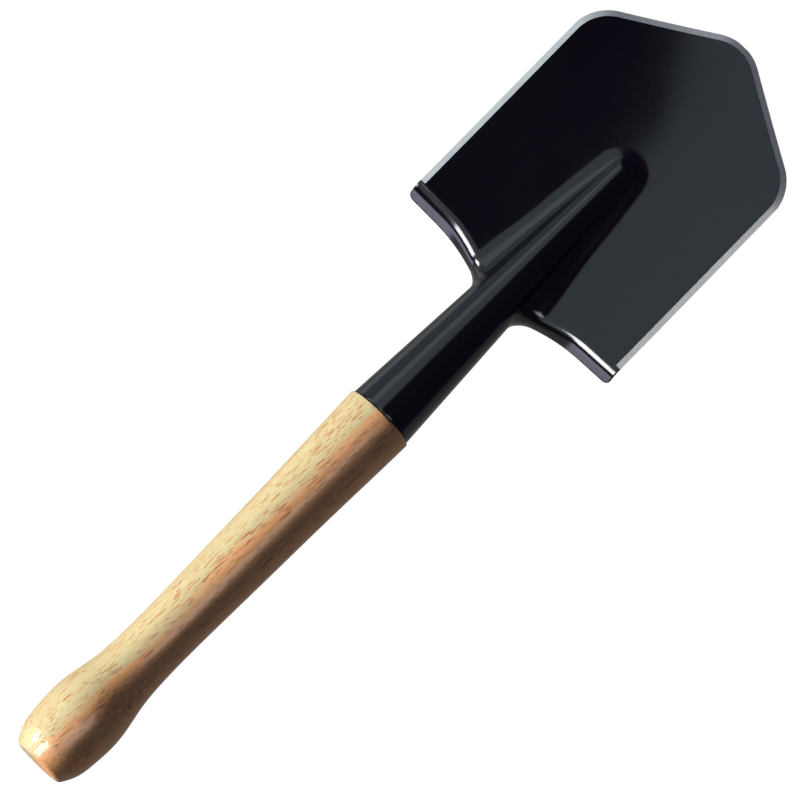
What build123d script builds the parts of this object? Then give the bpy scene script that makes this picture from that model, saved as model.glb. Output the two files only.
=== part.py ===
"""Fixed-handle camp shovel: a one-piece pressed steel head on a turned hardwood handle.

Frame: +Y runs along the handle towards the blade's tip, +X is to the right and +Z is up.
The shovel lies on its back with the hollow digging face up. The origin is under the middle
of its length, at the level of the lowest point of the knob. Every size is in millimetres,
and every "_at" value is a distance from the butt, measured along the handle's axis.
"""

import os
from math import cos, radians, tan

from build123d import *

os.makedirs("parts", exist_ok=True)

# ---- driving dimensions: handle
overall_length = 520.0
knob_radius = 21.5
butt_face_radius = 13.0  # flat end of the handle
knob_at = 31.0  # widest place of the knob
waist_at = 92.0  # narrowest place of the handle
waist_radius = 16.1
shoulder_at = 249.5  # where the wood stops and the steel starts
shoulder_radius = 19.85
shoulder_edge = 0.8  # chamfer of the wood at the shoulder
rim_end = (3.1, 16.0)  # where the butt's rounded rim meets the grip: distance and radius
grip_profile = [  # distance and radius of the turned grip, from the butt's rim to the shoulder
    (11.0, 19.5),
    (20.5, 20.78),
    (knob_at, knob_radius),
    (41.5, 20.78),
    (57.0, 17.9),
    (72.0, 16.45),
    (waist_at, waist_radius),
    (140.0, 17.0),
    (195.0, 18.2),
]
tenon_length = 76.0  # wood inside the socket
fit_gap = 0.1  # between the tenon and the inside of the socket

# ---- driving dimensions: steel head
sheet = 1.8  # thickness of the pressed steel
mouth_radius = 18.85  # outside of the socket at the shoulder
socket_taper = 0.0559  # loss of radius per millimetre towards the tip
nose_at = 429.0  # centre of the rib's round nose
seam_width = 0.8  # open line at the back where the rolled edges meet
blade_width = 142.6
flange_at = 343.5  # rear face of the foot flanges, at the blade's sides
flange_at_neck = 338.0  # the same face, where the neck's fillet begins
flange_depth = 9.5  # from the blade's skin to the flange's free edge
fold_radius = 5.0  # outside of the fold between blade and flange
neck_radius = 9.0  # fillet between flange and neck, seen from above
corner_radius = 25.8  # the blade's two shoulders and its tip, seen from above
corner_at = 481.2  # sharp corner that the shoulder's rounding replaces
tip_angle = 31.2  # slope of the blade's end towards its point
bevel_width = 3.1  # ground cutting edge
edge_land = 0.5  # steel left below the bevel at the very edge
dish_radius = 400.0  # hollow of the blade, across its width
sweep_radius = 2300.0  # forward curve of the blade, along its length
sweep_low_at = 273.0  # where that curve would be level with the handle
sweep_drop = 1.0  # height of that level point below the handle's axis

# ---- driving dimensions: retaining screw
screw_at = 268.0
screw_radius = 2.0
screw_head_radius = 3.8
screw_head_height = 1.9
screw_seat = 0.25  # how far the flat of the head stands off the round socket
screw_length = 16.0
slot_width = 1.0
slot_depth = 0.9

# ---- derived values
axis_height = knob_radius
butt_y = -overall_length / 2
tenon_end_at = shoulder_at + tenon_length
half_width = blade_width / 2
sweep_low = axis_height - sweep_drop
reach = 40.0  # how far the cutting tools pass the steel
sweep_turn = 8.0  # degrees of the sweep's circle that cover the whole blade

# x runs along the handle from the butt, y is the height above the handle's axis
along_handle = Plane(origin=(0, butt_y, axis_height), x_dir=(0, 1, 0), z_dir=(1, 0, 0))
handle_axis = Axis((0, butt_y, axis_height), (0, 1, 0))


def socket_radius(at):
    """Outside radius of the socket and of the rib."""
    return mouth_radius - socket_taper * (at - shoulder_at)


def height_plane(height):
    """Level plane seen from above, with its origin at the butt and y towards the tip."""
    return Plane(origin=(0, butt_y, height))


def cone_solid(inset, start_at):
    """Socket and rib as one solid cone with a round nose, thinned by inset."""
    nose = socket_radius(nose_at) - inset
    with BuildPart() as cone:
        with BuildSketch(along_handle):
            with BuildLine():
                side = Line((start_at, socket_radius(start_at) - inset), (nose_at, nose))
                tip = ThreePointArc(
                    side @ 1,
                    (nose_at + nose * cos(radians(45)), nose * cos(radians(45))),
                    (nose_at + nose, 0),
                )
                Polyline(tip @ 1, (start_at, 0), side @ 0)
            make_face()
        revolve(axis=handle_axis)
    return cone.part


def above_skin(inset):
    """Everything above the blade's doubly curved skin, lowered by inset."""
    section = Plane(
        origin=(0, butt_y + sweep_low_at, sweep_low - inset), x_dir=(1, 0, 0), z_dir=(0, -1, 0)
    )
    across = dish_radius + inset
    width = half_width + reach
    lift = across - (across**2 - width**2) ** 0.5
    turn = Axis((0, butt_y + sweep_low_at, sweep_low + sweep_radius), (1, 0, 0))
    with BuildPart() as block:
        with BuildSketch(section):
            with BuildLine():
                low = ThreePointArc((-width, lift), (0, 0), (width, lift))
                Polyline(low @ 1, (width, lift + reach), (-width, lift + reach), low @ 0)
            make_face()
        revolve(axis=turn, revolution_arc=sweep_turn)
    return block.part


def pressed_block(inset, depth):
    """Slab under the blade's skin with the folded rear face of the foot flanges."""
    neck = socket_radius(flange_at_neck) - inset
    rear = flange_at + inset
    rear_neck = flange_at_neck + inset
    root = neck_radius + inset + 1
    side = half_width + reach
    front = overall_length + reach
    with BuildPart() as block:
        with BuildSketch(height_plane(-reach)) as plan:
            with BuildLine():
                Polyline(
                    (side, rear),
                    (neck, rear_neck),
                    (neck, rear_neck - root),
                    (-neck, rear_neck - root),
                    (-neck, rear_neck),
                    (-side, rear),
                    (-side, front),
                    (side, front),
                    (side, rear),
                )
            make_face()
            inner = plan.vertices().filter_by(
                lambda v: abs(abs(v.X) - neck) < 0.01 and abs(v.Y - butt_y - rear_neck) < 0.01
            )
            fillet(inner, neck_radius + inset)
        extrude(amount=axis_height + 2 * reach)
        add(above_skin(inset), mode=Mode.SUBTRACT)
        fold = block.edges().filter_by(
            lambda edge: edge.center().Z > 0
            and rear_neck - neck_radius - 1 < edge.center().Y - butt_y < rear + 1
            and abs(edge.tangent_at(0.5).Z) < 0.5
        )
        fillet(fold, fold_radius - inset)
        add(above_skin(depth), mode=Mode.INTERSECT)
    return block.part


def outline_prism():
    """Upright prism through the blade's outline, with its shoulders and point rounded."""
    point_at = corner_at + half_width * tan(radians(tip_angle))
    with BuildPart() as prism:
        with BuildSketch(height_plane(0)) as plan:
            with BuildLine():
                Polyline(
                    (-half_width, shoulder_at - reach),
                    (-half_width, corner_at),
                    (0, point_at),
                    (half_width, corner_at),
                    (half_width, shoulder_at - reach),
                    (-half_width, shoulder_at - reach),
                )
            make_face()
            rounded = plan.vertices().filter_by(lambda v: v.Y - butt_y > shoulder_at)
            fillet(rounded, corner_radius)
        extrude(amount=2 * axis_height)
    return prism.part


def screw_plane(drop):
    """Plane across the screw, facing down, at a drop below the lowest side of the socket."""
    return Plane(
        origin=(0, butt_y + screw_at, axis_height - socket_radius(screw_at) - drop),
        x_dir=(1, 0, 0),
        z_dir=(0, 0, -1),
    )


with BuildPart() as head:
    add(cone_solid(0, shoulder_at))
    add(pressed_block(0, flange_depth))
    # the hollow under the blade, the socket's bore and the open back of the rib
    add(pressed_block(sheet, 2 * flange_depth), mode=Mode.SUBTRACT)
    add(cone_solid(sheet, shoulder_at - 1), mode=Mode.SUBTRACT)
    add(outline_prism(), mode=Mode.INTERSECT)
    # the seam where the rolled edges of the socket meet, and the screw's hole through it
    with BuildSketch(height_plane(0)):
        with Locations((0, (shoulder_at + flange_at_neck) / 2)):
            Rectangle(seam_width, flange_at_neck - shoulder_at + reach)
    extrude(amount=axis_height, mode=Mode.SUBTRACT)
    with BuildSketch(screw_plane(screw_head_height)):
        Circle(screw_radius + fit_gap)
    extrude(amount=-mouth_radius, mode=Mode.SUBTRACT)
    # the ground cutting edge, on the digging face only
    skin = head.faces().filter_by(GeomType.TORUS).sort_by(Axis.Z)[-1]
    rim = skin.edges().filter_by(
        lambda edge: abs(edge.center().X) > half_width / 4 or edge.center().Y > butt_y + corner_at
    )
    rim = rim.filter_by(lambda edge: edge.center().Y > butt_y + flange_at + fold_radius)
    chamfer(rim, length=bevel_width, length2=sheet - edge_land, reference=skin)
head.part.label = "head"
export_step(head.part, "parts/head.step")


with BuildPart() as handle:
    bore = socket_radius(shoulder_at) - sheet - fit_gap
    bore_end = socket_radius(tenon_end_at) - sheet - fit_gap
    with BuildSketch(along_handle):
        with BuildLine():
            face = Line((0, 0), (0, butt_face_radius))
            rim_round = TangentArc(face @ 1, rim_end, tangent=(0, 1))
            grip = Spline(
                rim_round @ 1,
                *grip_profile,
                (shoulder_at - shoulder_edge, shoulder_radius),
            )
            Polyline(
                grip @ 1,
                (shoulder_at, shoulder_radius - shoulder_edge),
                (shoulder_at, bore),
                (tenon_end_at, bore_end),
                (tenon_end_at, 0),
                face @ 0,
            )
        make_face()
    revolve(axis=handle_axis)
    with BuildSketch(screw_plane(screw_seat)):
        Circle(screw_radius)
    extrude(amount=-screw_length, mode=Mode.SUBTRACT)
handle.part.label = "handle"
export_step(handle.part, "parts/handle.step")


with BuildPart() as retaining_screw:
    with BuildSketch(screw_plane(screw_seat)):
        Circle(screw_head_radius)
    extrude(amount=screw_head_height)
    domed = retaining_screw.edges().sort_by(Axis.Z)[0]
    fillet(domed, screw_head_height * 0.8)
    with BuildSketch(screw_plane(screw_seat)):
        Circle(screw_radius)
    extrude(amount=-screw_length)
    point = retaining_screw.edges().sort_by(Axis.Z)[-1]
    chamfer(point, length=screw_radius * 0.9)
    with BuildSketch(screw_plane(screw_seat + screw_head_height)):
        Rectangle(2 * screw_head_radius, slot_width)
    extrude(amount=-slot_depth, mode=Mode.SUBTRACT)
retaining_screw.part.label = "retaining_screw"
export_step(retaining_screw.part, "parts/retaining_screw.step")
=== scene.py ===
"""Looks of the fixed-handle camp shovel: enamelled steel head, lacquered hardwood handle, screw.

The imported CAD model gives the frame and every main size. Shapes are worked out in the tool's
own millimetres: x to the right, d along the handle's axis from the butt, and h the height above
that axis. Distances to surfaces are positive outside the steel and negative inside it.
"""

import math

import bpy
import numpy as np
from mathutils import Matrix, Vector


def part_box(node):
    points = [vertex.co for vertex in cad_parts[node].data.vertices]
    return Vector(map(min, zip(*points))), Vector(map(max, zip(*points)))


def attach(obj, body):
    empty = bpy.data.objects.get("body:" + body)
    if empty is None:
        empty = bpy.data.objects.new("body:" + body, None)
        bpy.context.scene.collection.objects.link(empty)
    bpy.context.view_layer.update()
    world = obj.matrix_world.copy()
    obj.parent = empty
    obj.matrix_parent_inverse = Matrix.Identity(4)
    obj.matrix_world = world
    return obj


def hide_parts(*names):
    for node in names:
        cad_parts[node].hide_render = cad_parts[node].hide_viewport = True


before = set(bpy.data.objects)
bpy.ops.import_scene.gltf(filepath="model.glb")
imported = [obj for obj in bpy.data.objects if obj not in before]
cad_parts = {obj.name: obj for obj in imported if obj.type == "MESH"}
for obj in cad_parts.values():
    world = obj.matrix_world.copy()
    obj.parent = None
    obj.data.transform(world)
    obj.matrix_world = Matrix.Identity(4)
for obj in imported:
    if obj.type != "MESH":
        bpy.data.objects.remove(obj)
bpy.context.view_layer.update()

# ---- sizes read from the frame, in millimetres
MM = 0.001
handle_low, handle_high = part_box("handle")
head_low, head_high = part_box("head")
screw_low, screw_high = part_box("retaining_screw")
butt_y = handle_low.y / MM
axis_height = (handle_low.z + handle_high.z) / 2 / MM
knob_radius = (handle_high.z - handle_low.z) / 2 / MM
half_width = head_high.x / MM
shoulder_at = head_low.y / MM - butt_y
tip_at = head_high.y / MM - butt_y
tenon_end_at = handle_high.y / MM - butt_y

# ---- the steel head
SHEET = 1.8  # thickness of the pressed steel
MOUTH_RADIUS = 18.85  # outside of the socket at the shoulder
SOCKET_TAPER = 0.0559  # loss of radius per millimetre towards the tip
MOUTH_GAP = 0.3  # dark line between the wooden shoulder and the steel
NOSE_AT = 429.0  # centre of the rib's round nose
FLANGE_AT = 344.0  # free edge of the foot flanges at the blade's sides
FLANGE_BEND_AT = 52.0  # from the middle line to where that edge starts to curve back
FLANGE_BEND_RADIUS = 95.0
FLANGE_DEPTH = 9.5  # from the blade's skin to the flange's free edge
FLANGE_LEAN = math.radians(28)  # of the flange away from upright, at the blade's sides
NECK_LEAN = math.radians(12)  # the same, beside the socket
LEAN_CHANGE = (45.0, 17.0)  # from the middle line: where the lean starts and stops changing
FLANGE_CORNER = 3.5  # rounding of the flange's outer end
FOLD_RADIUS = 8.0
FOLD_TURN = 9.0  # length over which the steel's normal turns from blade to flange
RIB_FILLET = 9.0
SADDLE_FILLET = 11.5  # where the rib, the blade and a fold meet
SADDLE_AT = (338.0, 347.0, 388.0)  # start, full size and end of that wider fillet
SEAM_WIDTH = 0.8
SEAM_ROUND = 0.6  # rounding where the seam meets the mouth
SEAM_END = 342.0  # where the closed socket opens into the rib's hollow back
NECK_ROUND = 3.0  # rounding of the trim between the flanges and the socket
# Steel kept around the socket. Known fault: less EDGE_ROUND, this is under ON_LINE, so clipped()
# drops the socket's back and leaves it open. 0.9 closes it.
SOCKET_KEEP = 0.5
CORNER_AT = 481.2  # sharp corner that the shoulder's rounding replaces
TIP_ANGLE = math.radians(31.2)
CORNER_RADIUS = 25.8
DISH_RADIUS = 400.0
SWEEP_RADIUS = 2300.0
SWEEP_LOW_AT = 273.0
SWEEP_DROP = 1.0
CURL_AT = 458.0  # where the blade starts to curl up towards its point
CURL_RADIUS = 1000.0
FLATTENING = 0.35  # share of the dish that is lost at the point
FLATTENING_AT = (445.0, 515.0)
BEVEL_AT = 352.8  # where the ground cutting edge starts, at the blade's sides
BEVEL_GROWTH = 1.2  # length over which it reaches its full width
BEVEL_WIDTH = 3.1
BEVEL_DROP = 1.3
BEVEL_SEEN = 0.02  # share of its full width from which it is bare steel
EDGE_ROUND = 0.3  # softened edges elsewhere
LOWER_EDGE = 1.65  # depth of the rim's lower line below the steel's face
FAR_INSIDE = 9.0  # any distance that leaves the seam out
LATTICE = 1.0  # size of the mesh's cells
ON_LINE = 0.22  # share of a cell within which a vertex counts as on the cut
LATTICE_ROOM = (2.0, 1.5, 4.0)  # beside the steel, before its mouth and past its tip
LATTICE_HEIGHTS = (-22.0, 26.0)


def skin_height(x, d):
    """Height of the blade's hollow digging face, without the rib."""
    sweep = (d - SWEEP_LOW_AT) ** 2 / (2 * SWEEP_RADIUS)
    curl = np.maximum(d - CURL_AT, 0) ** 2 / (2 * CURL_RADIUS)
    start, end = FLATTENING_AT
    dish = x**2 / (2 * DISH_RADIUS) * (1 - FLATTENING * smooth_step((d - start) / (end - start)))
    return -SWEEP_DROP + sweep + curl + dish


def round_meet(first, second, cosine, radius):
    """Where two solids overlap, with their shared edge rounded.

    first and second are distances to them, and cosine is that of the angle between their normals.
    """
    a = first + radius
    b = second + radius
    near_edge = (a > cosine * b) & (b > cosine * a)
    length = np.sqrt(np.maximum(a * a + b * b - 2 * cosine * a * b, 0) / (1 - cosine**2))
    return np.where(near_edge, length - radius, np.maximum(first, second))


def round_join(first, second, cosine, radius):
    """Two solids joined, with a hollow fillet between them."""
    return -round_meet(-first, -second, cosine, radius)


def smooth_step(value):
    """Rises smoothly from 0 to 1 as value does."""
    t = np.clip(value, 0, 1)
    return t * t * (3 - 2 * t)


def cone_distance(x, d, h):
    """Distance to the socket and rib: a slim cone with a round nose."""
    slope = math.atan(SOCKET_TAPER)
    nose = (MOUTH_RADIUS - SOCKET_TAPER * (NOSE_AT - shoulder_at)) * math.cos(slope)
    out = np.hypot(x, h)
    along = d - NOSE_AT
    past = along * math.cos(slope) - out * math.sin(slope) > 0
    side = out * math.cos(slope) + along * math.sin(slope)
    return np.where(past, np.hypot(along, out), side) - nose


def flange_edge(x):
    """Place along the handle of the foot flanges' free edge."""
    return FLANGE_AT - np.maximum(FLANGE_BEND_AT - np.abs(x), 0) ** 2 / (2 * FLANGE_BEND_RADIUS)


def steel_distance(p):
    """Distance to the pressed shape as if the steel were solid all the way down."""
    x, d, h = p[..., 0], p[..., 1], p[..., 2]
    rise_x = x / DISH_RADIUS
    rise_d = (d - SWEEP_LOW_AT) / SWEEP_RADIUS + np.maximum(d - CURL_AT, 0) / CURL_RADIUS
    steep = np.sqrt(1 + rise_x**2 + rise_d**2)
    depth = skin_height(x, d) - h
    skin = -depth / steep
    first, last = LEAN_CHANGE
    towards_neck = smooth_step((first - np.abs(x)) / (first - last))
    lean = FLANGE_LEAN + (NECK_LEAN - FLANGE_LEAN) * towards_neck
    lean_sin, lean_cos = np.sin(lean), np.cos(lean)
    rear = (flange_edge(x) - d) * lean_cos + (FLANGE_DEPTH - depth) * lean_sin
    fold_cosine = (lean_sin + rise_d * (lean_cos + lean_sin * rise_d)) / steep
    slab = round_meet(skin, rear, fold_cosine, FOLD_RADIUS)
    cone = cone_distance(x, d, h)
    # the slab's normal turns from the skin's to the flange's over the fold
    past_nose = np.maximum(d - NOSE_AT, 0)
    out = np.maximum(np.sqrt(x**2 + h**2 + past_nose**2), 1)
    turn = smooth_step((flange_edge(x) + FOLD_TURN - d) / FOLD_TURN)
    normal_h = (1 - turn) / steep + turn * lean_sin
    normal_x = -(1 - turn) * rise_x / steep
    cosine = np.clip((x * normal_x + h * normal_h) / out, -0.95, 0.95)
    start, full, end = SADDLE_AT
    saddle = smooth_step((d - start) / (full - start)) * smooth_step((end - d) / (end - full))
    fillet = RIB_FILLET + (SADDLE_FILLET - RIB_FILLET) * saddle
    return round_join(slab, cone, cosine, fillet)


def outline_distance(x, d):
    """Distance to the blade's outline, seen from above."""
    across = np.abs(x)
    side = across - half_width
    point_sin, point_cos = math.sin(TIP_ANGLE), math.cos(TIP_ANGLE)
    slant = (across - half_width) * point_sin + (d - CORNER_AT) * point_cos
    other = (-across - half_width) * point_sin + (d - CORNER_AT) * point_cos
    point = round_meet(slant, other, math.cos(2 * TIP_ANGLE), CORNER_RADIUS)
    return round_meet(point, side, point_sin, CORNER_RADIUS)


def trim_distance(p):
    """Distance along the sheet past its edges: negative on the steel, positive where it is cut."""
    x, d, h = p[..., 0], p[..., 1], p[..., 2]
    below = skin_height(x, d) - h - FLANGE_DEPTH
    off_socket = cone_distance(x, d, h) - SOCKET_KEEP
    flange = round_join(below, off_socket, 0.0, NECK_ROUND)
    edge = round_meet(outline_distance(x, d), flange, 0.0, FLANGE_CORNER)
    seam = np.where((h < 0) & (d < SEAM_END), SEAM_WIDTH / 2 - np.abs(x), -FAR_INSIDE)
    mouth = shoulder_at + MOUTH_GAP - d
    return np.maximum(edge, round_meet(seam, mouth, 0.0, SEAM_ROUND))


def bevel_width(p):
    """How far in from the edge the steel's face stops."""
    grown = smooth_step((p[..., 1] - BEVEL_AT) / BEVEL_GROWTH + 0.5)
    return EDGE_ROUND + (BEVEL_WIDTH - EDGE_ROUND) * grown


def bevel_field(p):
    return trim_distance(p) + bevel_width(p)


def slope_of(field, p, step=0.01):
    """Gradient of a field at each point."""
    parts = []
    for axis in range(3):
        shift = np.zeros(3)
        shift[axis] = step
        parts.append((field(p + shift) - field(p - shift)) / (2 * step))
    return np.stack(parts, -1)


def drawn_to_surface(p, rounds=3):
    """The points moved onto the steel's face."""
    for _ in range(rounds):
        gradient = slope_of(steel_distance, p)
        square = np.maximum((gradient**2).sum(-1), 0.05)
        p = p - gradient * (steel_distance(p) / square)[:, None]
    return p


def normals_at(p):
    gradient = slope_of(steel_distance, p)
    return gradient / np.linalg.norm(gradient, axis=-1, keepdims=True)


def drawn_to_line(p, field, rounds=5, most=2.0):
    """Points on the face moved along it to where field is zero."""
    for _ in range(rounds):
        normal = normals_at(p)
        gradient = slope_of(field, p)
        gradient -= normal * (gradient * normal).sum(-1, keepdims=True)
        square = np.maximum((gradient**2).sum(-1), 0.05)
        move = -gradient * (field(p) / square)[:, None]
        length = np.linalg.norm(move, axis=-1, keepdims=True)
        p = p + move * np.minimum(1, most / np.maximum(length, 1e-9))
        p = drawn_to_surface(p, 1)
    return p


def lattice_surface(low, high):
    """Four-sided faces along the zero level of steel_distance, one vertex for each cell it crosses."""
    counts = [int(round((b - a) / LATTICE)) + 1 for a, b in zip(low, high)]
    axes = [a + LATTICE * np.arange(n) for a, n in zip(low, counts)]
    grid = np.stack(np.meshgrid(*axes, indexing="ij"), -1)
    value = steel_distance(grid)
    inside = value < 0
    cells = [n - 1 for n in counts]
    total = np.zeros(cells + [3])
    crossings = np.zeros(cells)
    faces = []
    for axis in range(3):
        first = [slice(None)] * 3
        second = [slice(None)] * 3
        first[axis] = slice(0, -1)
        second[axis] = slice(1, None)
        first, second = tuple(first), tuple(second)
        crossed = inside[first] != inside[second]
        a, b = value[first], value[second]
        share = np.where(crossed, a / np.where(crossed, a - b, 1), 0)
        place = grid[first] + share[..., None] * (grid[second] - grid[first])
        u, v = [other for other in range(3) if other != axis]
        for du in (0, 1):
            for dv in (0, 1):
                window = [slice(None)] * 3
                window[u] = slice(du, du + cells[u])
                window[v] = slice(dv, dv + cells[v])
                window = tuple(window)
                total += np.where(crossed[window][..., None], place[window], 0)
                crossings += crossed[window]
        spots = np.argwhere(crossed)
        spots = spots[(spots[:, u] > 0) & (spots[:, v] > 0)]
        spots = spots[(spots[:, u] < cells[u]) & (spots[:, v] < cells[v])]
        ring = []
        for du, dv in ((-1, -1), (0, -1), (0, 0), (-1, 0)):
            cell = spots.copy()
            cell[:, u] += du
            cell[:, v] += dv
            ring.append(np.ravel_multi_index(cell.T, cells))
        quad = np.stack(ring, 1)
        flip = inside[first][tuple(spots.T)] != (axis == 1)
        quad[~flip] = quad[~flip][:, ::-1]
        faces.append(quad)
    used = crossings.ravel() > 0
    number = np.cumsum(used) - 1
    points = total.reshape(-1, 3)[used] / crossings.ravel()[used][:, None]
    return points, number[np.concatenate(faces)]


def clipped(points, quads, field):
    """The faces cut off where field is positive, with new vertices along its zero line."""
    level = field(points)
    near = np.abs(level) < ON_LINE * LATTICE
    points[near] = drawn_to_line(points[near], field)
    level[near] = 0
    outside = level > 0
    worst = outside[quads].any(1)
    kept = [list(face) for face in quads[~worst & (level[quads] < 0).any(1)]]
    cut_at = {}
    fresh = []

    def cut(a, b):
        key = (min(a, b), max(a, b))
        if key not in cut_at:
            cut_at[key] = len(points) + len(fresh)
            share = level[key[0]] / (level[key[0]] - level[key[1]])
            fresh.append(points[key[0]] + share * (points[key[1]] - points[key[0]]))
        return cut_at[key]

    for face in quads[worst & (level[quads] < 0).any(1)]:
        ring = []
        for a, b in zip(face, np.roll(face, -1)):
            if level[a] <= 0:
                ring.append(a)
            if level[a] * level[b] < 0:
                ring.append(cut(a, b))
        if len(ring) > 2:
            kept.append(ring)
    fresh = drawn_to_line(drawn_to_surface(np.array(fresh)), field)
    points = np.concatenate([points, fresh])
    used = np.unique(np.concatenate([np.array(face) for face in kept]))
    number = np.full(len(points), -1)
    number[used] = np.arange(len(used))
    return points[used], [[int(number[i]) for i in face] for face in kept]


def border_edges(faces):
    """Edges that only one face uses, in that face's direction."""
    count = {}
    for face in faces:
        for a, b in zip(face, face[1:] + face[:1]):
            key = (min(a, b), max(a, b))
            count[key] = None if key in count else (a, b)
    return [edge for edge in count.values() if edge]


def relaxed(points, faces, rounds=4):
    """Vertices inside the sheet evened out along its face."""
    pairs = set()
    for face in faces:
        for a, b in zip(face, face[1:] + face[:1]):
            pairs.add((min(a, b), max(a, b)))
    pairs = np.array(sorted(pairs))
    free = np.ones(len(points), bool)
    free[np.array(border_edges(faces)).ravel()] = False
    degree = np.bincount(pairs.ravel(), minlength=len(points))
    for _ in range(rounds):
        total = np.zeros_like(points)
        np.add.at(total, pairs[:, 0], points[pairs[:, 1]])
        np.add.at(total, pairs[:, 1], points[pairs[:, 0]])
        middle = total / degree[:, None]
        points = np.where(free[:, None], 0.5 * points + 0.5 * middle, points)
        points = np.where(free[:, None], drawn_to_surface(points, 1), points)
    return drawn_to_surface(points, 2)


def to_frame(p):
    """From the tool's millimetres to the frame's metres."""
    p = np.asarray(p, float)
    return np.stack([p[..., 0], p[..., 1] + butt_y, p[..., 2] + axis_height], -1) * MM


def new_piece(name, vertices, faces, materials, slots=None, smooth=True):
    mesh = bpy.data.meshes.new(name)
    mesh.from_pydata([tuple(v) for v in vertices], [], faces)
    for material in materials:
        mesh.materials.append(material)
    if slots is not None:
        mesh.polygons.foreach_set("material_index", slots)
    mesh.polygons.foreach_set("use_smooth", [smooth] * len(mesh.polygons))
    mesh.update()
    piece = bpy.data.objects.new(name, mesh)
    bpy.context.scene.collection.objects.link(piece)
    return piece


def make_head(enamel, ground_steel):
    """The pressed sheet: its face, its back and the rims between them, held inside the CAD's box."""
    beside, before, past = LATTICE_ROOM
    reach = half_width + beside
    low = (-reach // 1, shoulder_at - before, LATTICE_HEIGHTS[0])
    high = (-(-reach // 1), tip_at + past, LATTICE_HEIGHTS[1])
    points, quads = lattice_surface(low, high)
    points = drawn_to_surface(points)
    points, faces = clipped(points, quads, bevel_field)
    points = relaxed(points, faces)
    normals = normals_at(points)
    back = points - SHEET * normals
    border = border_edges(faces)
    rim = sorted({i for edge in border for i in edge})
    place = {vertex: i for i, vertex in enumerate(rim)}
    edge = drawn_to_line(points[rim], trim_distance)
    edge_normals = normals_at(edge)
    width = bevel_width(points[rim])
    ground = (width - EDGE_ROUND) / (BEVEL_WIDTH - EDGE_ROUND)
    drop = EDGE_ROUND + (BEVEL_DROP - EDGE_ROUND) * ground
    upper = edge - drop[:, None] * edge_normals
    lower = edge - LOWER_EDGE * edge_normals
    count, ring = len(points), len(rim)
    vertices = np.concatenate([points, back, upper, lower])
    vertices[:, 0] = np.clip(vertices[:, 0], -half_width, half_width)
    vertices[:, 1] = np.minimum(vertices[:, 1], tip_at)
    polygons = [list(face) for face in faces] + [[i + count for i in face[::-1]] for face in faces]
    slots = [0] * len(polygons)
    sharp = set()
    for a, b in border:
        i, j = 2 * count + place[a], 2 * count + place[b]
        polygons.append([b, a, i, j])
        polygons.append([j, i, i + ring, j + ring])
        polygons.append([j + ring, i + ring, a + count, b + count])
        is_ground = min(ground[place[a]], ground[place[b]]) > BEVEL_SEEN
        slots += [1 if is_ground else 0, 1 if is_ground else 0, 0]
        if is_ground:
            sharp |= {frozenset(pair) for pair in ((a, b), (i, j), (i + ring, j + ring))}
    piece = new_piece("head_shell", to_frame(vertices), polygons, [enamel, ground_steel], slots)
    marks = [frozenset(e.vertices) in sharp for e in piece.data.edges]
    attribute = piece.data.attributes.new("sharp_edge", "BOOLEAN", "EDGE")
    attribute.data.foreach_set("value", marks)
    return piece


# ---- the handle
BUTT_FACE = 12.4  # radius of the flat end before its rounded rim
BUTT_RIM = 3.4
BUTT_DOME = 0.25  # crown of the butt's face
SHOULDER_RADIUS = 19.85
SHOULDER_ROUND = 0.8
TENON_RADIUS = 16.95
FLARE_ANGLE = math.radians(29)  # slope of the knob where the butt's rim ends
GRIP_PROFILE = [  # distance from the butt and radius
    (5.2, 17.2),
    (11.0, 19.5),
    (20.5, 20.85),
    (31.0, knob_radius),
    (41.5, 20.78),
    (57.0, 17.9),
    (72.0, 16.45),
    (92.0, 16.1),
    (140.0, 17.0),
    (195.0, 18.2),
]
SHOULDER_SLOPE = 0.02  # of the grip where it meets the shoulder's rounding
PROFILE_SPACING = 1.5
TURNED_SIDES = 128
SCREW_SIDES = 48


def smooth_curve(knots, start_slope, end_slope, spacing):
    """Points on the cubic curve through the knots, evenly spread along the handle."""
    at, value = np.array(knots, float).T
    n = len(at)
    gap = np.diff(at)
    rise = np.diff(value) / gap
    system = np.zeros((n, n))
    target = np.zeros(n)
    system[0, 0] = system[-1, -1] = 1
    target[0], target[-1] = start_slope, end_slope
    for i in range(1, n - 1):
        system[i, i - 1 : i + 2] = gap[i], 2 * (gap[i - 1] + gap[i]), gap[i - 1]
        target[i] = 3 * (gap[i] * rise[i - 1] + gap[i - 1] * rise[i])
    slope = np.linalg.solve(system, target)
    fine = np.linspace(at[0], at[-1], int((at[-1] - at[0]) / spacing) + 1)
    i = np.clip(np.searchsorted(at, fine) - 1, 0, n - 2)
    t = (fine - at[i]) / gap[i]
    low = (1 + 2 * t) * (1 - t) ** 2 * value[i] + t * (1 - t) ** 2 * gap[i] * slope[i]
    high = t * t * (3 - 2 * t) * value[i + 1] + t * t * (t - 1) * gap[i] * slope[i + 1]
    return list(zip(fine, low + high))


def arc_points(centre, radius, start, end, count):
    """Points on an arc of a turned profile; angles from the handle's axis, in radians."""
    angles = np.linspace(start, end, count)
    return [(centre[0] + radius * math.cos(a), centre[1] + radius * math.sin(a)) for a in angles]


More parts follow.
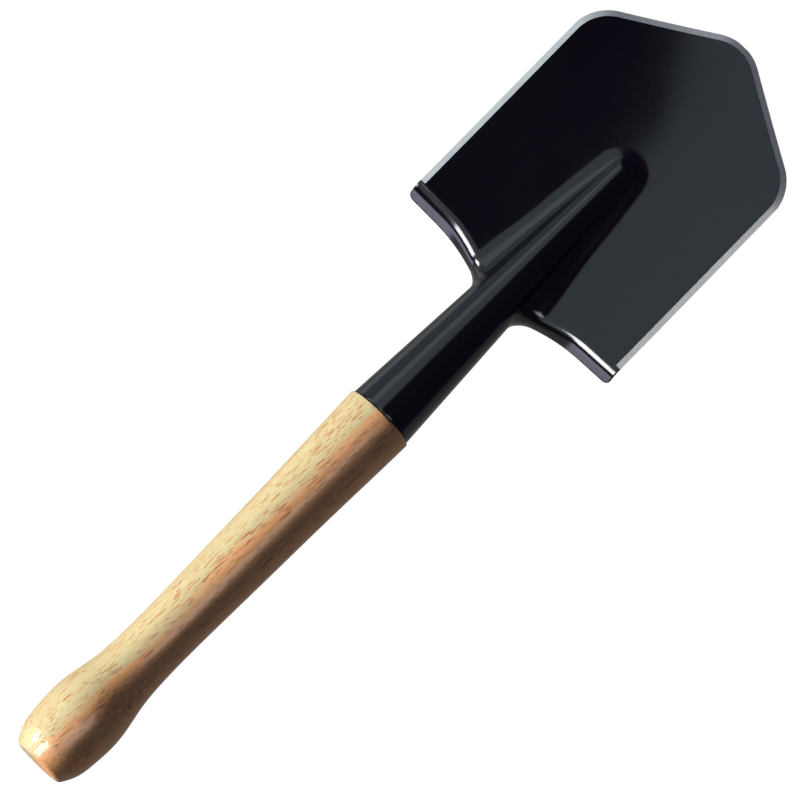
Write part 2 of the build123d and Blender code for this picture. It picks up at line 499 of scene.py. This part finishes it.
def turned_mesh(profile, sides):
    """Vertices (x, d, h) and faces of a shape turned about the handle's axis, closed at both ends."""
    turn = 2 * np.pi * np.arange(sides) / sides
    vertices = [(0.0, profile[0][0], 0.0)]
    for d, radius in profile[1:-1]:
        vertices += [(radius * math.sin(t), d, radius * math.cos(t)) for t in turn]
    vertices.append((0.0, profile[-1][0], 0.0))
    rings = len(profile) - 2
    last = len(vertices) - 1
    faces = []
    for j in range(sides):
        k = (j + 1) % sides
        faces.append([0, 1 + k, 1 + j])
        for ring in range(rings - 1):
            a = 1 + ring * sides
            b = a + sides
            faces.append([a + j, a + k, b + k, b + j])
        a = 1 + (rings - 1) * sides
        faces.append([a + j, a + k, last])
    return vertices, [face[::-1] for face in faces]


def make_handle(wood):
    """The turned grip with its tenon, which fills the socket."""
    rim_centre = (BUTT_RIM + BUTT_DOME, BUTT_FACE)
    face = [(BUTT_DOME * (r / BUTT_FACE) ** 2, r) for r in np.linspace(0, BUTT_FACE, 10)]
    rim = arc_points(rim_centre, BUTT_RIM, math.pi, math.pi / 2 + FLARE_ANGLE, 9)
    knots = [rim[-1]] + GRIP_PROFILE + [(shoulder_at - SHOULDER_ROUND, SHOULDER_RADIUS)]
    grip = smooth_curve(knots, math.tan(FLARE_ANGLE), SHOULDER_SLOPE, PROFILE_SPACING)
    turn_centre = (shoulder_at - SHOULDER_ROUND, SHOULDER_RADIUS - SHOULDER_ROUND)
    shoulder = arc_points(turn_centre, SHOULDER_ROUND, math.pi / 2, 0, 6)
    tenon_at = np.linspace(shoulder_at, tenon_end_at, 20)
    tenon = [(at, TENON_RADIUS - SOCKET_TAPER * (at - shoulder_at)) for at in tenon_at]
    end = [(tenon_end_at, r) for r in (8.0, 0.0)]
    profile = face + rim[1:] + grip[1:] + shoulder[1:] + tenon + end
    vertices, faces = turned_mesh(profile, TURNED_SIDES)
    piece = new_piece("handle_grip", to_frame(vertices), faces, [wood])
    piece.data.set_sharp_from_angle(angle=math.radians(50))
    return piece


# ---- the retaining screw
SCREW_HEAD_RADIUS = 3.8
SCREW_DOME = 1.9
SCREW_RADIUS = 2.0
SCREW_POINT = 3.6  # length of the pointed end
SLOT_WIDTH = 1.0
SLOT_DEPTH = 0.9


def make_screw(steel):
    """Dome-headed slotted screw, its head on the back of the socket."""
    centre = (screw_low + screw_high) / 2 / MM
    bottom = screw_low.z / MM
    top = screw_high.z / MM
    turns = np.linspace(0, math.pi / 2, 12)
    dome = [(SCREW_DOME * (1 - math.cos(a)), SCREW_HEAD_RADIUS * math.sin(a)) for a in turns]
    shank = [(SCREW_DOME + 0.01, SCREW_RADIUS), (top - bottom - SCREW_POINT, SCREW_RADIUS)]
    point = [(top - bottom - 0.2, 0.5), (top - bottom, 0.0)]
    vertices, faces = turned_mesh(dome + shank + point, SCREW_SIDES)
    placed = [(x, -h, depth) for x, depth, h in vertices]
    corners = [((x + centre.x) * MM, (y + centre.y) * MM, (z + bottom) * MM) for x, y, z in placed]
    piece = new_piece("screw", corners, faces, [steel])
    cutter = new_piece("slot_cutter", *slot_block(centre, bottom), [steel], smooth=False)
    cut = piece.modifiers.new("slot", "BOOLEAN")
    cut.operation = "DIFFERENCE"
    cut.solver = "EXACT"
    cut.object = cutter
    bpy.context.view_layer.update()
    depsgraph = bpy.context.evaluated_depsgraph_get()
    mesh = bpy.data.meshes.new_from_object(piece.evaluated_get(depsgraph))
    piece.modifiers.clear()
    piece.data = mesh
    bpy.data.objects.remove(cutter)
    mesh.set_sharp_from_angle(angle=math.radians(40))
    return piece


def slot_block(centre, bottom):
    x, y, z = SCREW_HEAD_RADIUS + 1, SLOT_WIDTH / 2, SLOT_DEPTH
    corners = [(i * x, j * y, k) for i in (-1, 1) for j in (-1, 1) for k in (-1.0, z)]
    vertices = [((a + centre.x) * MM, (b + centre.y) * MM, (c + bottom) * MM) for a, b, c in corners]
    faces = [[0, 1, 3, 2], [4, 6, 7, 5], [0, 4, 5, 1], [2, 3, 7, 6], [0, 2, 6, 4], [1, 5, 7, 3]]
    return vertices, faces


# ---- stage: floor, lights, camera
FLOOR_REACH = 6.0
BOARD_DEPTH = -0.6
BOARD_GLOW = 0.22
STAGE_TONE = 0.08  # what the floor, board and wall reflect besides their own glow
CAMERA_PITCH = 0.15565
CAMERA_LEAN = 0.10109
CAMERA_ROLL = 0.78082
CAMERA_DISTANCE = 3.1755
CAMERA_LENS = 278.14
CAMERA_AIM = (0.0009, 263.58, 0.0)  # x in metres, d in millimetres, h in millimetres


def area_light(name, place, aim, size, radiance, colour=(1, 1, 1), spin=0.0):
    """Soft rectangular light that glows with the given radiance."""
    light = bpy.data.lights.new(name, "AREA")
    light.shape = "RECTANGLE"
    light.size, light.size_y = size
    light.energy = radiance * math.pi * size[0] * size[1]
    light.color = colour
    lamp = bpy.data.objects.new(name, light)
    lamp.location = place
    facing = (Vector(aim) - Vector(place)).to_track_quat("-Z", "Y").to_matrix().to_4x4()
    lamp.matrix_world = Matrix.Translation(place) @ facing @ Matrix.Rotation(spin, 4, "Z")
    lamp.visible_camera = False
    bpy.context.scene.collection.objects.link(lamp)
    return lamp


def stage_material(name, glow):
    material = bpy.data.materials.new(name)
    material.use_nodes = True
    shader = material.node_tree.nodes["Principled BSDF"]
    shader.inputs["Base Color"].default_value = (STAGE_TONE, STAGE_TONE, STAGE_TONE, 1)
    shader.inputs["Roughness"].default_value = 0.9
    shader.inputs["Emission Color"].default_value = (1, 1, 1, 1)
    shader.inputs["Emission Strength"].default_value = glow
    return material


def make_floor():
    """White floor that only the camera sees, and a dim board below it that only reflections see."""
    r = FLOOR_REACH
    for name, z, glow in (("floor", 0, 1.0), ("floor_board", BOARD_DEPTH, BOARD_GLOW)):
        corners = [(-r, -r, z), (r, -r, z), (r, r, z), (-r, r, z)]
        floor = new_piece(name, corners, [[0, 1, 2, 3]], [stage_material(name, glow)])
        floor.visible_diffuse = False
        floor.visible_shadow = False
        floor.visible_glossy = name == "floor_board"
        floor.visible_camera = name == "floor"


def make_backdrop():
    """White wall round the floor, which stays out of the tool's light and reflections."""
    sides = 64
    r = FLOOR_REACH
    turns = [math.tau * i / sides for i in range(sides)]
    ring = [(r * math.cos(turn), r * math.sin(turn)) for turn in turns]
    corners = [(x, y, z) for z in (-0.01, 2 * r) for x, y in ring]
    faces = [[i, i + sides, (i + 1) % sides + sides, (i + 1) % sides] for i in range(sides)]
    wall = new_piece("backdrop", corners, faces, [stage_material("white_wall", 1.0)])
    wall.visible_diffuse = False
    wall.visible_glossy = False
    wall.visible_shadow = False


def make_world():
    """Dim violet surroundings, seen in reflections but giving the tool no diffuse light."""
    world = bpy.data.worlds.new("studio")
    bpy.context.scene.world = world
    world.use_nodes = True
    world.node_tree.nodes["Background"].inputs["Color"].default_value = (0.06, 0.047, 0.1, 1)
    world.cycles_visibility.diffuse = False


def make_camera():
    lens = bpy.data.cameras.new("camera")
    lens.lens = CAMERA_LENS
    lens.sensor_width = 36
    lens.clip_end = 50
    camera = bpy.data.objects.new("camera", lens)
    back = Vector((
        math.sin(CAMERA_LEAN) * math.cos(CAMERA_PITCH),
        -math.sin(CAMERA_PITCH),
        math.cos(CAMERA_LEAN) * math.cos(CAMERA_PITCH),
    ))
    along = Vector((0, 1, 0)) - back.y * back
    along.normalize()
    across = along.cross(back)
    right = across * math.cos(CAMERA_ROLL) + along * math.sin(CAMERA_ROLL)
    up = along * math.cos(CAMERA_ROLL) - across * math.sin(CAMERA_ROLL)
    aim = Vector((CAMERA_AIM[0], (CAMERA_AIM[1] + butt_y) * MM, axis_height * MM))
    turned = Matrix((right, up, back)).transposed().to_4x4()
    camera.matrix_world = Matrix.Translation(aim + back * CAMERA_DISTANCE) @ turned
    bpy.context.scene.collection.objects.link(camera)
    bpy.context.scene.camera = camera


COOL = (0.76, 0.94, 1.0)
VIOLET = (0.72, 0.72, 1.0)
WARM = (1, 0.98, 0.9)
SOFT_WARM = (1, 0.97, 0.92)
CARD_HEIGHT = 1.9
CARD_TURN = math.radians(-54.3)
CARD_SIZE = Vector((5.0, 3.0))
CARD_EDGE = 0.026  # from the tool's middle to the card's straight far edge, seen from above
KEY_DISTANCE = 3.0
KEY_SIZE = (0.9, 0.9)


def make_lights():
    """Six reflectors that only show in reflections, the key light in two layers, and a weak fill.

    The reflectors put highlights and dark areas on the enamel and the ground edge. The key's wash
    lights from the key's place without adding to its reflection.
    """
    middle = Vector((-math.sin(CARD_TURN), math.cos(CARD_TURN), 0)) * (CARD_EDGE - CARD_SIZE.y / 2)
    card_at = Vector((middle.x, middle.y, CARD_HEIGHT))
    under_card = card_at - Vector((0, 0, 1))
    strip_at = Vector((-0.25, -0.76, 0.6)).normalized() * 2.4
    reflectors = (
        area_light("card", card_at, under_card, CARD_SIZE, 0.9, COOL, CARD_TURN),
        area_light("side_card", (-2.3, 0.5, 1.5), (0, 0.5, 1.5), (4.0, 2.8), 0.6, COOL),
        area_light("strip", strip_at, (0, 0, 0), (0.7, 1.3), 26),
        area_light("edge_card", (0.8, -0.3, 1.75), (0, 0.1, 0), (0.9, 0.8), 4.0),
        area_light("low_card", (-0.42, -1.15, -0.45), (0, 0.08, 0.02), (0.9, 0.9), 3.2, VIOLET),
        area_light("low_side_card", (-1.2, 0.4, -0.28), (0, 0.4, 0.02), (3.0, 0.6), 0.7, COOL),
    )
    for reflector in reflectors:
        reflector.visible_diffuse = False
    key_at = Vector((-0.74, -0.59, 0.33)).normalized() * KEY_DISTANCE
    area_light("key", key_at, (0, 0, 0), KEY_SIZE, 32, WARM)
    key_wash = area_light("key_wash", key_at, (0, 0, 0), KEY_SIZE, 33, WARM)
    fill = area_light("fill", (2.0, 0.2, 0.15), (0, 0, 0), (1.5, 1.5), 0.72, SOFT_WARM)
    for wash in (key_wash, fill):
        wash.visible_glossy = False


# ---- materials
class Shading:
    """Short way to build a material's nodes around one Principled shader."""

    def __init__(self, name):
        self.material = bpy.data.materials.new(name)
        self.material.use_nodes = True
        self.tree = self.material.node_tree
        self.shader = self.tree.nodes["Principled BSDF"]
        place = self.tree.nodes.new("ShaderNodeTexCoord")
        self.place = place.outputs["Object"]

    def set(self, **values):
        for name, value in values.items():
            self.shader.inputs[name.replace("_", " ")].default_value = value

    def link(self, output, name):
        self.tree.links.new(output, self.shader.inputs[name])

    def put(self, socket, value):
        if isinstance(value, bpy.types.NodeSocket):
            self.tree.links.new(value, socket)
        else:
            socket.default_value = value

    def per_millimetre(self, cycles, turn=(0, 0, 0)):
        """Coordinates in which a noise of scale 1 changes this many times in a millimetre."""
        turned = self.tree.nodes.new("ShaderNodeMapping")
        turned.inputs["Rotation"].default_value = turn
        self.put(turned.inputs["Vector"], self.place)
        scaled = self.tree.nodes.new("ShaderNodeVectorMath")
        scaled.operation = "MULTIPLY"
        self.put(scaled.inputs[0], turned.outputs[0])
        scaled.inputs[1].default_value = tuple(c / MM for c in cycles)
        return scaled.outputs[0]

    def noise(self, cycles, detail=2.0, roughness=0.5, distortion=0.0, turn=(0, 0, 0)):
        node = self.tree.nodes.new("ShaderNodeTexNoise")
        self.put(node.inputs["Vector"], self.per_millimetre(cycles, turn))
        node.inputs["Scale"].default_value = 1.0
        node.inputs["Detail"].default_value = detail
        node.inputs["Roughness"].default_value = roughness
        node.inputs["Distortion"].default_value = distortion
        return node.outputs["Fac"]

    def spread(self, value, low, high, to_low=0.0, to_high=1.0):
        """value between low and high, stretched to between to_low and to_high."""
        node = self.tree.nodes.new("ShaderNodeMapRange")
        node.interpolation_type = "SMOOTHSTEP"
        self.put(node.inputs["Value"], value)
        for name, number in (("From Min", low), ("From Max", high), ("To Min", to_low), ("To Max", to_high)):
            node.inputs[name].default_value = number
        return node.outputs["Result"]

    def math(self, operation, first, second):
        node = self.tree.nodes.new("ShaderNodeMath")
        node.operation = operation
        self.put(node.inputs[0], first)
        self.put(node.inputs[1], second)
        return node.outputs[0]

    def mix(self, factor, first, second):
        node = self.tree.nodes.new("ShaderNodeMix")
        node.data_type = "RGBA"
        self.put(node.inputs["Factor"], factor)
        colours = [s for s in node.inputs if s.type == "RGBA"]
        for socket, value in zip(colours, (first, second)):
            self.put(socket, (*value, 1) if isinstance(value, tuple) else value)
        return [s for s in node.outputs if s.type == "RGBA"][0]

    def bump(self, height, strength, distance):
        node = self.tree.nodes.new("ShaderNodeBump")
        self.put(node.inputs["Height"], height)
        node.inputs["Strength"].default_value = strength
        node.inputs["Distance"].default_value = distance * MM
        return node.outputs["Normal"]


def enamel_material():
    """Satin black enamel with a violet cast and a fine orange-peel skin."""
    m = Shading("black_enamel")
    m.set(Specular_IOR_Level=0.5)
    cloud = m.noise((0.02, 0.02, 0.02), detail=3)
    speck = m.noise((1.4, 1.4, 1.4), detail=2)
    tone = m.mix(cloud, (0.0010, 0.0005, 0.0020), (0.0016, 0.0009, 0.0032))
    m.link(m.mix(m.spread(speck, 0.5, 0.8, 0.0, 0.5), tone, (0.003, 0.0025, 0.005)), "Base Color")
    worn = m.spread(cloud, 0.3, 0.7, 0.12, 0.15)
    grained = m.spread(speck, 0.3, 0.7, -0.02, 0.03)
    m.link(m.math("ADD", worn, grained), "Roughness")
    m.link(m.bump(speck, 0.05, 0.02), "Normal")
    return m.material


def ground_steel_material():
    """Bare ground steel of the cutting edge, with fine grinding lines."""
    m = Shading("ground_steel")
    m.set(Metallic=0.8)
    lines = m.noise((0.6, 3.0, 0.6), detail=3, turn=(0, 0, math.radians(35)))
    cloud = m.noise((0.15, 0.15, 0.15), detail=3)
    tone = m.mix(lines, (0.44, 0.44, 0.44), (0.58, 0.58, 0.575))
    m.link(m.mix(m.spread(cloud, 0.45, 0.7, 0.0, 0.3), tone, (0.40, 0.40, 0.41)), "Base Color")
    m.link(m.spread(lines, 0.2, 0.8, 0.34, 0.5), "Roughness")
    m.link(m.bump(lines, 0.3, 0.02), "Normal")
    return m.material


def screw_material():
    m = Shading("steel_screw")
    m.set(Metallic=1.0)
    lines = m.noise((2.0, 0.4, 2.0), detail=3)
    m.link(m.mix(lines, (0.42, 0.42, 0.45), (0.6, 0.6, 0.62)), "Base Color")
    m.link(m.spread(lines, 0.3, 0.7, 0.22, 0.4), "Roughness")
    m.link(m.bump(lines, 0.2, 0.02), "Normal")
    return m.material


HEART_AND_SHADE_SPREAD = 22.0  # distance across the handle that the change of colour, both the real heartwood and the painted shade at the far left, is measured in


def wood_material():
    """Pale hardwood under clear lacquer: cream sapwood, tan heartwood, fine reddish pores; the far left is
    darkened with painted shade.
    """
    m = Shading("lacquered_wood")
    slant = (math.radians(2), 0, math.radians(5))
    m.set(Specular_IOR_Level=0.35, Coat_Weight=0.4, Coat_Roughness=0.1, Coat_IOR=1.5)
    split = m.tree.nodes.new("ShaderNodeSeparateXYZ")
    m.put(split.inputs[0], m.place)
    bands = m.noise((0.1, 0.006, 0.1), detail=3, distortion=0.6, turn=slant)
    streaks = m.noise((0.55, 0.02, 0.55), detail=4, roughness=0.6, turn=slant)
    fibre = m.noise((2.4, 0.09, 2.4), detail=3, turn=slant)
    pores = m.noise((1.5, 0.09, 1.5), detail=1, roughness=0.3, turn=slant)
    flecks = m.noise((2.5, 0.12, 2.5), detail=1, roughness=0.3, turn=slant)
    crowd = m.noise((0.16, 0.012, 0.16), detail=2, turn=slant)
    # the sapwood lies on the handle's left and the heartwood on its right, with a wavering border; the olive
    # darkening at the far left is painted shade for how the light falls there
    across = m.math("MULTIPLY", split.outputs["X"], 1 / (HEART_AND_SHADE_SPREAD * MM))
    lean = m.math("ADD", across, m.math("MULTIPLY", m.math("SUBTRACT", bands, 0.5), 0.8))
    lean = m.math("ADD", lean, m.math("MULTIPLY", m.math("SUBTRACT", streaks, 0.5), 0.45))
    # painted shade: the far left of the sapwood is darker olive, standing in for how the key light falls off
    # there, not a colour of the wood
    tone = m.mix(m.spread(lean, -0.8, -0.4), (0.56, 0.48, 0.27), (0.68, 0.59, 0.33))
    tone = m.mix(m.spread(lean, -0.22, 0.1), tone, (0.97, 0.46, 0.19))
    tone = m.mix(m.spread(streaks, 0.5, 0.75, 0.0, 0.3), tone, (0.68, 0.42, 0.18))
    tone = m.mix(m.spread(fibre, 0.4, 0.75, 0.0, 0.25), tone, (0.62, 0.36, 0.16))
    level = m.math("ADD", pores, m.math("MULTIPLY", m.math("SUBTRACT", crowd, 0.5), 0.45))
    dash = m.spread(level, 0.62, 0.67)
    tone = m.mix(m.spread(flecks, 0.60, 0.68, 0.0, 0.5), tone, (0.55, 0.24, 0.10))
    tone = m.mix(m.math("MULTIPLY", dash, 0.85), tone, (0.50, 0.17, 0.07))
    relief = m.math("SUBTRACT", m.math("MULTIPLY", fibre, 0.3), dash)
    m.link(tone, "Base Color")
    m.link(m.spread(fibre, 0.3, 0.7, 0.38, 0.55), "Roughness")
    m.link(m.bump(relief, 0.3, 0.05), "Normal")
    return m.material


bpy.context.scene.view_settings.view_transform = "Standard"
head = make_head(enamel_material(), ground_steel_material())
handle = make_handle(wood_material())
screw = make_screw(screw_material())
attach(head, "root")
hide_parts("head")
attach(handle, "root")
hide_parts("handle")
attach(screw, "root")
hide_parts("retaining_screw")
make_floor()
make_backdrop()
make_world()
make_lights()
make_camera()
